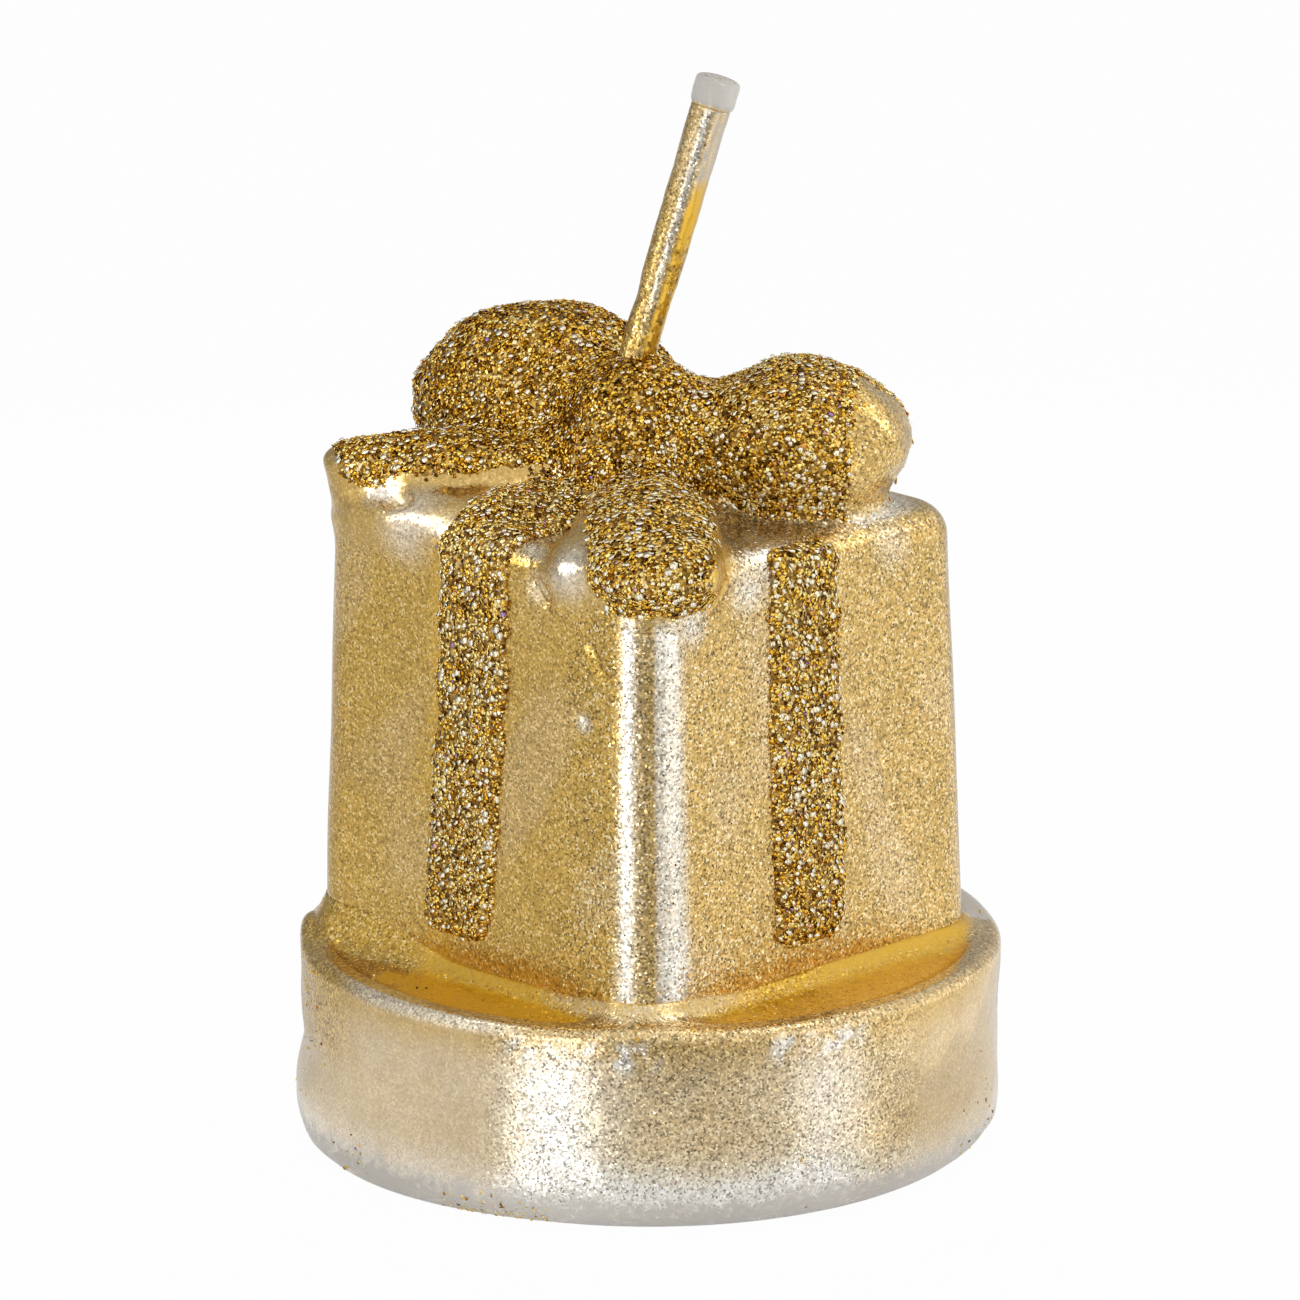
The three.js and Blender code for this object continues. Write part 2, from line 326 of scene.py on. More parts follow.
# Materials
lacquerLook = {
    # silver is the pale lacquer's colour, which also paints the highlights
    "gold": (0.62, 0.39, 0.08, 1), "silver": (0.93, 0.88, 0.79, 1), "spark": (0.96, 0.82, 0.50, 1),
    "amber": (0.96, 0.55, 0.02, 1), "paleAmber": (0.86, 0.64, 0.26, 1),
    "wax": (0.66, 0.62, 0.55, 1), "whiteWax": (0.90, 0.86, 0.80, 1),
    "flakeSize": 0.11, "calmTilt": 0.08, "wildTilt": 0.8, "bedSize": 0.17, "bedTilt": 1.0,
    "metal": 0.92, "pooledMetal": 0.42, "rough": 0.18, "waxRough": 0.36,
    "sparkle": [(0.0, 0.30), (0.25, 0.80), (0.7, 1.10), (1.0, 1.75)],
    "bed": [(0.0, (0.085, 0.038, 0.003)), (0.3, (0.24, 0.12, 0.012)), (0.6, (0.47, 0.27, 0.04)),
            (0.85, (0.76, 0.50, 0.13)), (1.0, (0.95, 0.80, 0.45))],
}


def mixColor(tree, factor, first, second, blendType="MIX"):
    inputs = {0: factor, 6: first, 7: second}
    return addNode(tree, "Mix", inputs, data_type="RGBA", blend_type=blendType).outputs[2]


def ramp(tree, value, stops):
    node = addNode(tree, "ValToRGB", {0: value})
    elements = node.color_ramp.elements
    for number, (place, color) in enumerate(stops):
        stop = elements[number] if number < 2 else elements.new(place)
        stop.position = place
        stop.color = (*color, 1) if isinstance(color, tuple) else (color, color, color, 1)
    return node.outputs[0]


def grains(tree, place, size, calm, wild):
    # cells this many mm across: each has its own tilt and its own random number
    cells = addNode(tree, "TexVoronoi", {"Vector": place, "Scale": 1 / (size * mm)})
    tilt = workedVector(tree, "SUBTRACT", cells.outputs["Color"], (0.5, 0.5, 0.5))
    much = workedVector(tree, "LENGTH", tilt, output="Value")
    tilt = scaledVector(tree, tilt, mapped(tree, much, 0.5, 0.85, calm, wild))
    return tilt, addNode(tree, "TexWhiteNoise", {"Vector": cells.outputs["Position"]}).outputs["Value"]


def lacquerMaterial(name, look):
    material, tree = newMaterial(name)
    place = ownPlace(tree)
    marks = addNode(tree, "Attribute", attribute_name="finishAndLight")
    parts = addNode(tree, "SeparateColor", {0: marks.outputs["Color"]})
    grain = addNode(tree, "Attribute", attribute_name="grain").outputs["Fac"]
    ragged = mapped(tree, noise(tree, place, 2600, 4), 0.3, 0.7, -0.22, 0.22)
    cloud = mapped(tree, noise(tree, place, 260, 5, 0.6), 0.3, 0.7, 0.93, 1.07)
    bump = bumped(tree, noise(tree, place, 1500, 3), 0.5, 0.00003)
    tilt, value = grains(tree, place, look["flakeSize"], look["calmTilt"], look["wildTilt"])
    bedTilt, bedValue = grains(tree, place, look["bedSize"], look["bedTilt"], look["bedTilt"])

    def paler(plain, pale):
        return mixColor(tree, parts.outputs[2], look[plain], look[pale])

    def edged(mask, low, high):
        return mapped(tree, worked(tree, "ADD", mask, ragged), low, high, 0, 1)

    bare = edged(parts.outputs[0], 0.3, 0.75)
    pooled = edged(parts.outputs[1], 0.1, 0.9)
    glued = edged(marks.outputs["Alpha"], 0.4, 0.7)
    color = paler("gold", "silver")
    color = mixColor(tree, 1.0, color, cloud, "MULTIPLY")
    color = mixColor(tree, grain, color, ramp(tree, value, look["sparkle"]), "MULTIPLY")
    bright = worked(tree, "MULTIPLY", mapped(tree, value, 0.87, 0.91, 0, 0.6), grain)
    color = mixColor(tree, bright, color, paler("spark", "silver"))
    color = mixColor(tree, pooled, color, paler("amber", "paleAmber"))
    color = mixColor(tree, glued, color, ramp(tree, bedValue, look["bed"]))
    color = mixColor(tree, bare, color, paler("wax", "whiteWax"))

    tilt = scaledVector(tree, tilt, grain)
    leaning = addNode(tree, "Mix", {0: glued, 4: tilt, 5: bedTilt}, data_type="VECTOR").outputs[1]
    lacquered = mapped(tree, bare, 0, 1, 1, 0)
    leaning = scaledVector(tree, leaning, lacquered)
    normal = workedVector(tree, "NORMALIZE", workedVector(tree, "ADD", leaning, bump))
    metal = mapped(tree, pooled, 0, 1, look["metal"], look["pooledMetal"])
    metal = worked(tree, "MULTIPLY", lacquered, metal)
    waxy = mapped(tree, bare, 0, 1, 0, 0.6)
    rough = mapped(tree, bare, 0, 1, look["rough"], look["waxRough"])
    surfaceOf(tree, "BsdfPrincipled", {
        "Base Color": color, "Metallic": metal, "Roughness": rough, "Normal": normal,
        "Subsurface Weight": waxy, "Subsurface Radius": (1.0, 0.8, 0.6), "Subsurface Scale": 0.0012,
        "Coat Weight": 0.12, "Coat Roughness": 0.12,
    })
    return material


def glitterMaterial(name):
    material, tree = newMaterial(name)
    place = ownPlace(tree)
    foil = addNode(tree, "Attribute", attribute_name="foil").outputs["Color"]
    scuff = noise(tree, place, 9000, 2)
    worn = mixColor(tree, 1.0, foil, mapped(tree, scuff, 0.3, 0.7, 0.85, 1.1), "MULTIPLY")
    rough = mapped(tree, scuff, 0.3, 0.7, 0.14, 0.30)
    surfaceOf(tree, "BsdfPrincipled", {"Base Color": worn, "Metallic": 1.0, "Roughness": rough})
    return material


lacquer = lacquerMaterial("goldPearlLacquer", lacquerLook)
glitter = glitterMaterial("goldGlitter")
print("materials ready")

# Forms of the wax
box = {
    "base": 26.2, "top": 24.85, "height": 24.0, "standsAt": 11.2, "corner": 3.0, "topRound": 1.6,
    "offset": -0.30, "lean": -0.2, "topTilt": -0.022, "wobble": 0.045,
}
# Lumps of the bow: from, to, half width, half height, and how slim it starts
lumps = {
    "bow_knot": [((-0.6, -5.5, 35.0), (-0.6, 3.7, 35.0), 5.1, 8.2, 1)],
    "bow_loop_left": [((2, 4.2, 39.4), (-12.7, 5.6, 39.3), 4.5, 5.4, 0.95)],
    "bow_loop_right": [((1, -0.9, 39.1), (13.9, -1.6, 38.6), 5.3, 4.3, 0.72)],
    "bow_tail_front": [
        ((-0.3, -2.6, 37.1), (-0.2, -17.7, 34.6), 4.0, 2.3, 0.6),
        ((1.2, -12.2, 35.1), (1.5, -17.1, 34.5), 2.3, 1.6, 1),
        ((-3.9, -10.8, 34.9), (-3.8, -14.6, 34.1), 1.2, 1.2, 1),
    ],
    "bow_tail_left": [
        ((-2.4, -0.6, 37.0), (-16.9, -0.3, 36.5), 2.9, 2.2, 0.8),
        ((-12.6, -0.5, 36.9), (-17.4, -0.5, 37.0), 1.9, 1.55, 1),
        ((-15.8, -1.7, 35.1), (-4.8, -4.6, 35.2), 2.9, 1.4, 1),
    ],
}
# Small hollows in the surface: a short stroke from one point to another, and its radius
hollows = [
    ((-6.0, -12.25, 33.6), (-5.5, -12.75, 32.9), 0.42),
    ((-6.3, -11.95, 33.9), (-6.4, -11.9, 33.3), 0.22),
    ((-3.1, -15.12, 30.9), (-2.75, -15.5, 30.2), 0.22),
    ((-2.5, -15.75, 29.7), (-2.25, -16.0, 29.4), 0.24),
    ((-3.6, -14.95, 27.1), (-3.5, -15.05, 26.8), 0.30),
    ((-1.5, -5.3, 38.3), (-1.0, -5.3, 38.2), 0.55),
    ((1.0, -17.2, 32.1), (2.0, -16.6, 32.2), 0.35),
]
# Soft dents: where, which way their long side lies, how long, how wide and how deep
dents = [
    ((-13.1, -4.1, 35.7), (1.9, -1.3, -1.4), 1.25, 0.52, 1.15),
    ((-5.9, -12.35, 33.3), (0.5, -0.5, -0.8), 0.55, 0.30, 0.34),
    ((-2.9, -15.3, 30.5), (0.35, -0.38, -0.8), 0.60, 0.22, 0.30),
    ((-3.55, -15.0, 26.95), (0.1, -0.1, -0.3), 0.32, 0.25, 0.28),
]
# How wide the melted creases are, and how far a skin may reach out from its own form
fillets = {
    "lumps": 1.0, "bow": 1.8, "box": 2.2, "tail": 1.3, "hollow": 0.22, "cover": 1.4, "farther": 0.8,
}


def lumpAxes(lump):
    start, end = np.array(lump[:2], float)
    along = unit(end - start)
    side = unit(np.cross((0, 0, 1), along))
    return start, end, length(end - start) / 2, along, side, np.cross(along, side)


def lumpGirth(lump, share):
    # half width and half height at a share of the way
    halfWidth, halfHeight, neck = lump[2:]
    slim = neck + (1 - neck) * smooth(share, 0, 0.6)
    return halfWidth * slim, halfHeight * slim


def lumpField(points, lump):
    start, end, half, along, side, up = lumpAxes(lump)
    offset = points - (start + end) / 2
    a, s, u = offset @ along, offset @ side, offset @ up
    wide, high = lumpGirth(lump, np.clip((a / half + 1) / 2, 0, 1))
    near = np.sqrt((a / half) ** 2 + (s / wide) ** 2 + (u / high) ** 2)
    slope = np.sqrt((a / half**2) ** 2 + (s / wide**2) ** 2 + (u / high**2) ** 2)
    return near * (near - 1) / np.maximum(slope, 1e-4)


def pieceField(name, points):
    value = lumpField(points, lumps[name][0])
    for lump in lumps[name][1:]:
        value = softMin(value, lumpField(points, lump), fillets["lumps"])
    return value


def boxSide(height):
    return box["base"] + (box["top"] - box["base"]) * height / box["height"]


def turned(x, y):
    # the box stands corner first
    return (x + y) * sqrt(0.5), (y - x) * sqrt(0.5)


def boxLocal(points):
    h = points[:, 2] - box["standsAt"]
    u, v = turned(points[:, 0] - box["offset"] - box["lean"] * h / box["height"], points[:, 1])
    return u, v, h


def outlineDistance(u, v, side):
    inner = side / 2 - box["corner"]
    qu, qv = np.abs(u) - inner, np.abs(v) - inner
    outside = np.hypot(np.maximum(qu, 0), np.maximum(qv, 0))
    return outside + np.minimum(np.maximum(qu, qv), 0) - box["corner"]


def boxField(points):
    u, v, h = boxLocal(points)
    flat = outlineDistance(u, v, boxSide(h))
    above = h - (box["height"] + box["topTilt"] * points[:, 0])
    r = box["topRound"]
    w, t = flat + r, above + r
    value = np.minimum(np.maximum(w, t), 0) + np.hypot(np.maximum(w, 0), np.maximum(t, 0)) - r
    return value + box["wobble"] * wobble(points, 9.0, 5)


def strokeField(points, start, end, radius):
    along = np.subtract(end, start)
    share = np.clip((points - start) @ along / (along @ along), 0, 1)
    return length(points - start - share[:, None] * along) - radius


def dentDepth(points):
    depth = np.zeros(len(points))
    for at, along, long, wide, deep in dents:
        offset = points - at
        a = offset @ unit(np.array(along))
        across = (offset * offset).sum(-1) - a * a
        depth += deep * np.exp(-((a / long) ** 2) - across / wide**2)
    return depth


def waxField(points):
    # the candle above its foot, as one melted-together surface
    uneven = 0.10 * wobble(points, 4.5, 11) + 0.04 * wobble(points, 1.6, 12)
    bow = pieceField("bow_knot", points)
    for name in ("bow_loop_left", "bow_loop_right", "bow_tail_left"):
        bow = softMin(bow, pieceField(name, points), fillets["bow"])
    whole = softMin(bow + uneven, boxField(points), fillets["box"])
    whole = softMin(whole, pieceField("bow_tail_front", points) + uneven, fillets["tail"])
    for stroke in hollows:
        whole = softCut(whole, strokeField(points, *stroke), fillets["hollow"])
    return whole + dentDepth(points)


def exposure(points):
    # 1 where a point lies on the outside of the wax, 0 where other wax covers it
    return smooth(waxField(points), -0.14, -0.05)


# Painted highlights: spots where the lacquer is painted silver to stand for reflected light: where, how wide
# and how much
paintedHighlightSpots = [
    ((6.0, -9.6, 35.1), 2.5, 1.0),
    ((5.0, -11.8, 33.2), 1.4, 0.7),
    ((12.7, -4.1, 33.7), 1.7, 0.35),
    ((2.4, -15.5, 32.1), 1.1, 0.9),
    ((-3.9, -13.9, 34.7), 1.3, 1.0),
    ((-14.2, -3.2, 36.3), 0.9, 0.9),
    ((-12.3, -4.8, 34.9), 1.6, 1.0),
    ((-5.9, -12.4, 33.4), 0.8, 0.6),
    ((-3.4, -14.8, 26.8), 0.5, 0.7),
    ((-1.2, -5.2, 38.2), 1.0, 0.9),
    ((4.6, -5.6, 35.5), 0.9, 0.9),
]


def paintedHighlightAt(points):
    highlightPaint = np.zeros(len(points))
    for at, radius, much in paintedHighlightSpots:
        highlightPaint = np.maximum(highlightPaint, much * hump(length(points - at), 0, radius))
    return highlightPaint


def nearBow(points):
    return np.min([pieceField(name, points) for name in lumps], axis=0)


# How the lacquer lies on the box, with painted highlights: highlight stripes are degrees round the front
# corner, their width and strength
boxFinishAndLight = {
    "highlightStripes": [(-19, 10, 1.0), (1, 8, 0.15)], "rightHighlightStripe": (8, 18, 38, 62), "rightHighlightMuch": 0.85,
    "turnsAbout": 14.2, "nearEdge": (13.4, 15.6), "highlightStripeMuch": 0.85, "cloud": 0.10, "rightFace": 0.07,
    "besideRibbon": 0.3, "atFoot": 0.15, "atBow": 0.45, "underLoopLight": 0.08, "underLoopHighlight": 0.85,
    "grain": 0.75, "edgeGrain": 0.9, "rightGrain": 0.6, "highlightGrain": 0.4, "loopGrain": 0.6,
}


def boxTones(points):
    # pooled, pale with painted highlights, and grainy
    look = boxFinishAndLight
    h = boxLocal(points)[2]
    x, y = points[:, 0], points[:, 1]
    bow = nearBow(points)
    # painted highlights: silver where light is reflected
    highlightPaint = paintedHighlightAt(points)
    # painted light: the box top in the right loop's shade is painted pale and a little pooled
    underLoopLight = smooth(h, 23.3, 23.8) * smooth(bow, 3.0, 0.5)
    across = x - box["offset"]
    edgeTurn = np.degrees(np.arctan2(across, -y - look["turnsAbout"]))
    # painted highlight stripes down the rounded front corner
    highlightStripes = sum(much * hump(edgeTurn, at, wide) for at, wide, much in look["highlightStripes"])
    highlightStripes += look["rightHighlightMuch"] * band(edgeTurn, *look["rightHighlightStripe"])
    nearEdge = smooth(-y, *look["nearEdge"])
    faceRight = smooth(across, 1.0, 2.5) * smooth(y, 0, -1)
    # amber beside the left ribbon
    along = -turned(x, y)[1]
    facing = outward(points, boxField) @ (-sqrt(0.5), -sqrt(0.5), 0)
    pool = look["besideRibbon"] * smooth(facing, 0.8, 0.95) * band(along, -4.6, -2.6, -1.8, -1.0)
    pool = pool + look["atFoot"] * smooth(h, 1.5, 0.9) + look["underLoopLight"] * underLoopLight
    pool += look["atBow"] * smooth(bow, 1.4, 0.2) * smooth(h, 19, 22) * smooth(x, -9, -6)
    # the right face's share is painted light: paler where more light falls
    pale = 0.02 + look["cloud"] * smooth(wobble(points, 7, 31), 0.2, 1.0) + look["rightFace"] * faceRight
    pale += look["highlightStripeMuch"] * highlightStripes * nearEdge
    pale = np.maximum.reduce([pale, highlightPaint, look["underLoopHighlight"] * underLoopLight])
    grain = look["grain"] + look["edgeGrain"] * nearEdge + look["rightGrain"] * faceRight
    grain = grain + look["highlightGrain"] * highlightPaint + look["loopGrain"] * underLoopLight
    grain *= 1 - 0.5 * smooth(bow, 1.4, 0.2) * smooth(x, -4, -7)
    return pool * (1 - highlightPaint), pale, grain * (1 - 0.6 * smooth(highlightPaint, 0.55, 0.95))


# Gift box
detail = 2


def squareRing(side, corner, height):
    perFace, perCorner = 70 * detail, 14 * detail
    inner = (side / 2 - corner) * sqrt(2)
    ring = []
    for number in range(4):
        first = radians(90 * number - 90)
        centre = inner * np.array([cos(first), sin(first)])
        for step in range(perCorner):
            angle = first + pi / 2 * step / perCorner
            ring.append(centre + corner * np.array([cos(angle), sin(angle)]))
        angle = first + pi / 2
        outwards = np.array([cos(angle), sin(angle)])
        for step in range(perFace):
            ring.append(centre + (inner * outwards - centre) * step / perFace + corner * outwards)
    ring = np.array(ring)
    ring[:, 0] += box["offset"] + box["lean"] * height / box["height"]
    return np.column_stack([ring, np.full(len(ring), box["standsAt"] + height)])


def giftBoxRings():
    steps, roundSteps, topSteps = 80 * detail, 8 * detail, 36 * detail
    edge = box["height"] - box["topRound"]
    rings = [squareRing(boxSide(h), box["corner"], h) for h in np.linspace(0, edge, steps + 1)]
    for angle in np.linspace(0, pi / 2, roundSteps + 1)[1:]:
        inset = box["topRound"] * (1 - cos(angle))
        height = edge + box["topRound"] * sin(angle)
        rings.append(squareRing(box["top"] - 2 * inset, box["corner"] - inset, height))
    sides = np.linspace(box["top"] - 2 * box["topRound"], 3.0, topSteps + 1)[1:]
    corners = np.linspace(box["corner"] - box["topRound"], 0.7, topSteps + 1)[1:]
    return rings + [squareRing(side, corner, box["height"]) for side, corner in zip(sides, corners)]


cordHole = {"x": -0.6, "y": -0.5, "radius": 0.6}


def holeRing(count, height):
    angle = around(count, -pi / 2)
    x = cordHole["x"] + cordHole["radius"] * np.cos(angle)
    y = cordHole["y"] + cordHole["radius"] * np.sin(angle)
    return np.column_stack([x, y, np.full(count, height)])


rings = giftBoxRings()
count = len(rings[0])
outer = np.concatenate(rings)
outer = settle(outer, boxField, waxField, fillets["cover"])
# under the bow's own skins the box keeps a little below the surface
outer = outer - outward(outer, waxField) * 0.04 * smooth(nearBow(outer), 1.38, 1.2)[:, None]
low, high = box["standsAt"] - 0.02, box["standsAt"] + box["height"] + 0.3
points = np.concatenate([outer, holeRing(count, high), holeRing(count, low)])
points[:count, 2] = low
pool, pale, grain = boxTones(points)
marks = finishAndLightMarks(len(points), pool=pool, pale=pale, grain=grain)
shell = [ringQuads(len(rings) + 2, count, True)]
makePiece("giftBoxWax", points, shell, lacquer, marks, ["gift_box"])
print("gift box ready", len(points), "points")

# Foot
foot = {
    "radius": 19.0, "height": 11.2, "bottomRound": 2.2, "rimRound": 0.75, "floor": 10.86, "lipAt": 17.75,
    "lipHigh": 0.34, "lipWide": 0.55, "risesTo": 12.3, "leftRise": 1.3, "sideDrop": 0.45, "riseWide": 0.85,
    "pocket": 6.7, "pocketDeep": 0.7, "neck": 0.95, "neckDeep": 5.45, "uneven": 0.07, "knocks": 0.025,
    "underBox": 0.06,
}


def azimuthOf(x, y):
    # degrees from the front, positive to the right
    return np.degrees(np.arctan2(x, -y))


def toTheLeft(x, y):
    # 1 at the left of the foot, where it was poured fuller
    return band(azimuthOf(x, y), -165, -120, -82, -50)


def footTop(x, y):
    # the height of the foot's top, and how far out from the box's wall it is
    r = np.hypot(x, y)
    away = outlineDistance(*turned(x - box["offset"], y), box["base"] - foot["underBox"])
    left = toTheLeft(x, y)
    lip = np.where(r < foot["lipAt"], hump(r, foot["lipAt"], foot["lipWide"]), 1)
    z = foot["floor"] + foot["lipHigh"] * lip
    slope = np.exp(-((np.maximum(away, 0) / (foot["riseWide"] - 0.15 * left)) ** 1.4))
    risesTo = foot["risesTo"] + foot["leftRise"] * left - foot["sideDrop"] * smooth(np.abs(x), 1.5, 5)
    z = np.maximum(z, z + (risesTo - z) * slope)
    under = smooth(-away, 0.1, 0.5)
    return z * (1 - under) + (foot["height"] - foot["underBox"]) * under, away


def footMesh():
    count = 256 * detail
    angle = around(count, -pi / 2)
    ray = np.column_stack([np.cos(angle), np.sin(angle)])
    centre = np.array([cordHole["x"], cordHole["y"]])
    rings = []

    def ring(radius, z, shift=0.0):
        # shift 1 is centred on the wick, 0 on the foot
        xy = ray * np.reshape(radius, (-1, 1)) + centre * shift
        rings.append(np.column_stack([xy, z * np.ones(count)]))

    edgeStart = foot["radius"] - foot["rimRound"]
    for r in np.linspace(cordHole["radius"], 11.5, 6):
        ring(r, foot["height"] - foot["underBox"], 1 - (r - cordHole["radius"]) / (11.5 - cordHole["radius"]))
    for r in np.linspace(11.6, edgeStart, 46 * detail):
        ring(r, footTop(*ray.T * r)[0])
    edge = footTop(*ray.T * edgeStart)[0]
    for a in np.linspace(0, pi / 2, 5 * detail)[1:]:
        ring(edgeStart + foot["rimRound"] * sin(a), edge - foot["rimRound"] * (1 - cos(a)))
    side = edge - foot["rimRound"]
    facing = azimuthOf(*ray.T)
    bottom = foot["bottomRound"] - smooth(facing, -15, -60) * smooth(ray[:, 1], 0.9, 0.4)
    for t in np.linspace(0, 1, 40 * detail)[1:]:
        ring(foot["radius"], side + (bottom - side) * t)
    for a in np.linspace(0, pi / 2, 8 * detail)[1:]:
        ring(foot["radius"] - bottom * (1 - cos(a)), bottom * (1 - sin(a)))
    for t in np.linspace(0, 1, 8 * detail)[1:]:
        ring(foot["radius"] - bottom + (foot["pocket"] - foot["radius"] + bottom) * t, 0.0, t)
    pocket, deep, neck = foot["pocket"] - 0.05, foot["pocketDeep"], foot["neck"]
    steps = [(pocket, 0.06), (pocket, deep), (neck, deep), (neck, foot["neckDeep"])]
    for radius, z in steps + [(cordHole["radius"], foot["neckDeep"])]:
        ring(radius, z, 1)
    points = np.concatenate(rings)
    # the side and the lip are a little uneven, the way a hand-poured puck comes out
    r = np.hypot(points[:, 0], points[:, 1])
    outerPart = smooth(r, 15.5, 17.5) * smooth(points[:, 2], 0.0, 0.8)
    z = points[:, 2]
    push = foot["uneven"] * wobble(points, 9, 21)
    push += foot["knocks"] * wobble(points, 2.4, 22) * smooth(z, 12, 9)
    left = toTheLeft(points[:, 0], points[:, 1])
    push += left * (0.28 * hump(z, 2.6, 1.5) - 0.15 * hump(z, 5.3, 0.8))
    points[:, :2] += (points[:, :2] / np.maximum(r, 1)[:, None]) * (push * outerPart)[:, None]
    limit = foot["radius"] + 0.3
    r = np.hypot(points[:, 0], points[:, 1])
    points[:, :2] *= np.minimum(1, limit / np.maximum(r, 1))[:, None]
    return points, ringQuads(len(rings), count, True)


# Zones round the foot, by azimuth: where each one starts, is full, begins to fade and ends
footZones = {
    "poolLeft": (-66, -54, -16, -4), "poolRight": (4, 16, 82, 92),
    "bareRight": (80, 92, 120, 155), "bareLeft": (-160, -125, -112, -88), "bareLip": (90, 96, 135, 150),
    "middle": (-8, -4, 16, 24), "grainy": (-30, -16, 40, 52),
    "highlightSplashLeft": (-27, -20, -2, 6), "highlightSplashRight": (16, 22, 33, 40),
    "specksFarLeft": (-86, -78, -74, -66), "specksLeft": (-66, -60, -56, -50),
    "specksFront": (-38, -33, -20, -14), "specksRight": (58, 64, 74, 80),
}


def footFinishAndLight(points):
    # the lacquer's marks with the painted highlights, and how many loose flakes lie where
    x, y, z = points.T
    r = np.hypot(x, y)
    azimuth = azimuthOf(x, y)
    away = footTop(x, y)[1]
    ragged = wobble(points, 2.2, 41)

    def zone(name, rise=0, fall=0):
        start, full, fade, end = footZones[name]
        return smooth(azimuth + rise * ragged, start, full) * smooth(azimuth + fall * ragged, end, fade)

    onTop = smooth(z, 10.3, 10.9)
    inPool = (zone("poolLeft", 4) + zone("poolRight")) * (1 - 0.2 * smooth(x, 0, 3))
    inPool = inPool * smooth(z, 11.55, 11.1) * smooth(r + 0.12 * ragged, 17.6, 17.1)
    shelf = onTop * smooth(away, 1.0, 0.4) * smooth(z, 11.1, 11.4) * (1 - inPool)
    pool = onTop * (0.95 * inPool + 0.6 * shelf * (1 - 0.8 * smooth(azimuth, -52, -66)))
    # worn to the wax: the lowest edge, both sides towards the back, and the lip at the right
    lipBare = zone("bareLip", 2) * smooth(r, 16.2, 16.8) * onTop
    sideBare = np.maximum(0.8 * zone("bareRight", 5, 9), 0.63 * zone("bareLeft", 9, 9)) * (1 - onTop)
    low = 0.8 * smooth(z + 0.4 * ragged, 3.4, 0.9)
    bare = np.maximum.reduce([low, sideBare, lipBare]) + 0.10 * ragged
    bare = np.where(z < 0.05, 0.9, np.where(bare < 0.15, 0, bare))
    # painted highlights: silvery where the lamps' reflections fall, golden between and at the far left
    litLeft, litRight = hump(azimuth, -15, 8.5), hump(azimuth, 29, 8)
    farLeft = smooth(azimuth, -50, -66) * smooth(z, 4.0, 8.5)
    sidePale = 0.24 + 0.09 * zone("middle") + 0.70 * litLeft + 0.45 * litRight + 0.03 * ragged
    sidePale = sidePale + 0.20 * smooth(azimuth, -18, -34) + 0.10 * smooth(azimuth, 38, 52)
    sidePale *= smooth(z, 12.3, 8.0)
    sidePale += 0.45 * smooth(z, 5.5, 1.5) * smooth(np.abs(azimuth - 5), 30, 14)
    sidePale = sidePale * (1 - 0.75 * farLeft) + 0.35 * smooth(z, 4.5, 1.5)
    # painted highlight: ragged silver patches at the top of the two lamp highlights
    highlightSplash = smooth(z, 8.2, 9.6) * smooth(ragged + 0.6 * wobble(points, 0.9, 42), -0.9, 0.4)
    highlightSplash *= np.maximum(zone("highlightSplashLeft"), zone("highlightSplashRight"))
    sidePale = np.maximum(sidePale, 0.9 * highlightSplash)
    topPale = (0.22 + 0.40 * smooth(azimuth, -18, -28)) * smooth(r, 17.0, 17.6)
    topPale = (topPale + 0.5 * shelf * smooth(np.abs(azimuth), 26, 12)) * (1 - farLeft)
    pale = (1 - onTop) * sidePale + onTop * topPale
    grain = 0.25 + 0.75 * np.maximum(onTop * (1 - shelf) * 0.7, zone("grainy"))
    grain = np.maximum(grain, 0.9 * farLeft) + 0.6 * litLeft + 0.5 * litRight + 0.6 * highlightSplash
    specks = 0.12 * zone("specksFarLeft") * smooth(z, 2, 4) * (1 - onTop)
    specks += 0.8 * zone("specksFront") * band(z, 0.02, 0.2, 0.8, 2.2)
    specks = specks + 0.02 * onTop * smooth(r, 13, 15) + 0.002 * smooth(z, 0.5, 1.0)
    specks += 0.25 * zone("specksLeft") * band(z, 0.2, 0.6, 2.0, 3.2)
    specks += 0.12 * zone("specksRight") * band(z, 0.5, 1.0, 3.0, 5.0)
    return finishAndLightMarks(len(points), bare=bare, pool=pool * (1 - lipBare), pale=pale, grain=grain), specks


points, quads = footMesh()
marks, specks = footFinishAndLight(points)
makePiece("footWax", points, [quads], lacquer, marks, ["foot"])
footSpecks = (points, quads, specks)
print("foot ready", len(points), "points")


# Bow
def lumpMesh(lump, rings, count):
    start, end, half, along, side, up = lumpAxes(lump)
    turn = around(count)
    points = []
    for angle in pi * np.arange(1, rings) / rings:
        a = -cos(angle)
        wide, high = lumpGirth(lump, (a + 1) / 2)
        across = wide * sin(angle) * np.cos(turn)
        rise = high * sin(angle) * np.sin(turn)
        points.append((start + end) / 2 + along * half * a + across[:, None] * side + rise[:, None] * up)
    return capped(np.concatenate(points), rings - 1, count, start, end)


bareSpot = {"at": (-1.25, -5.0, 37.9), "radius": 0.8}


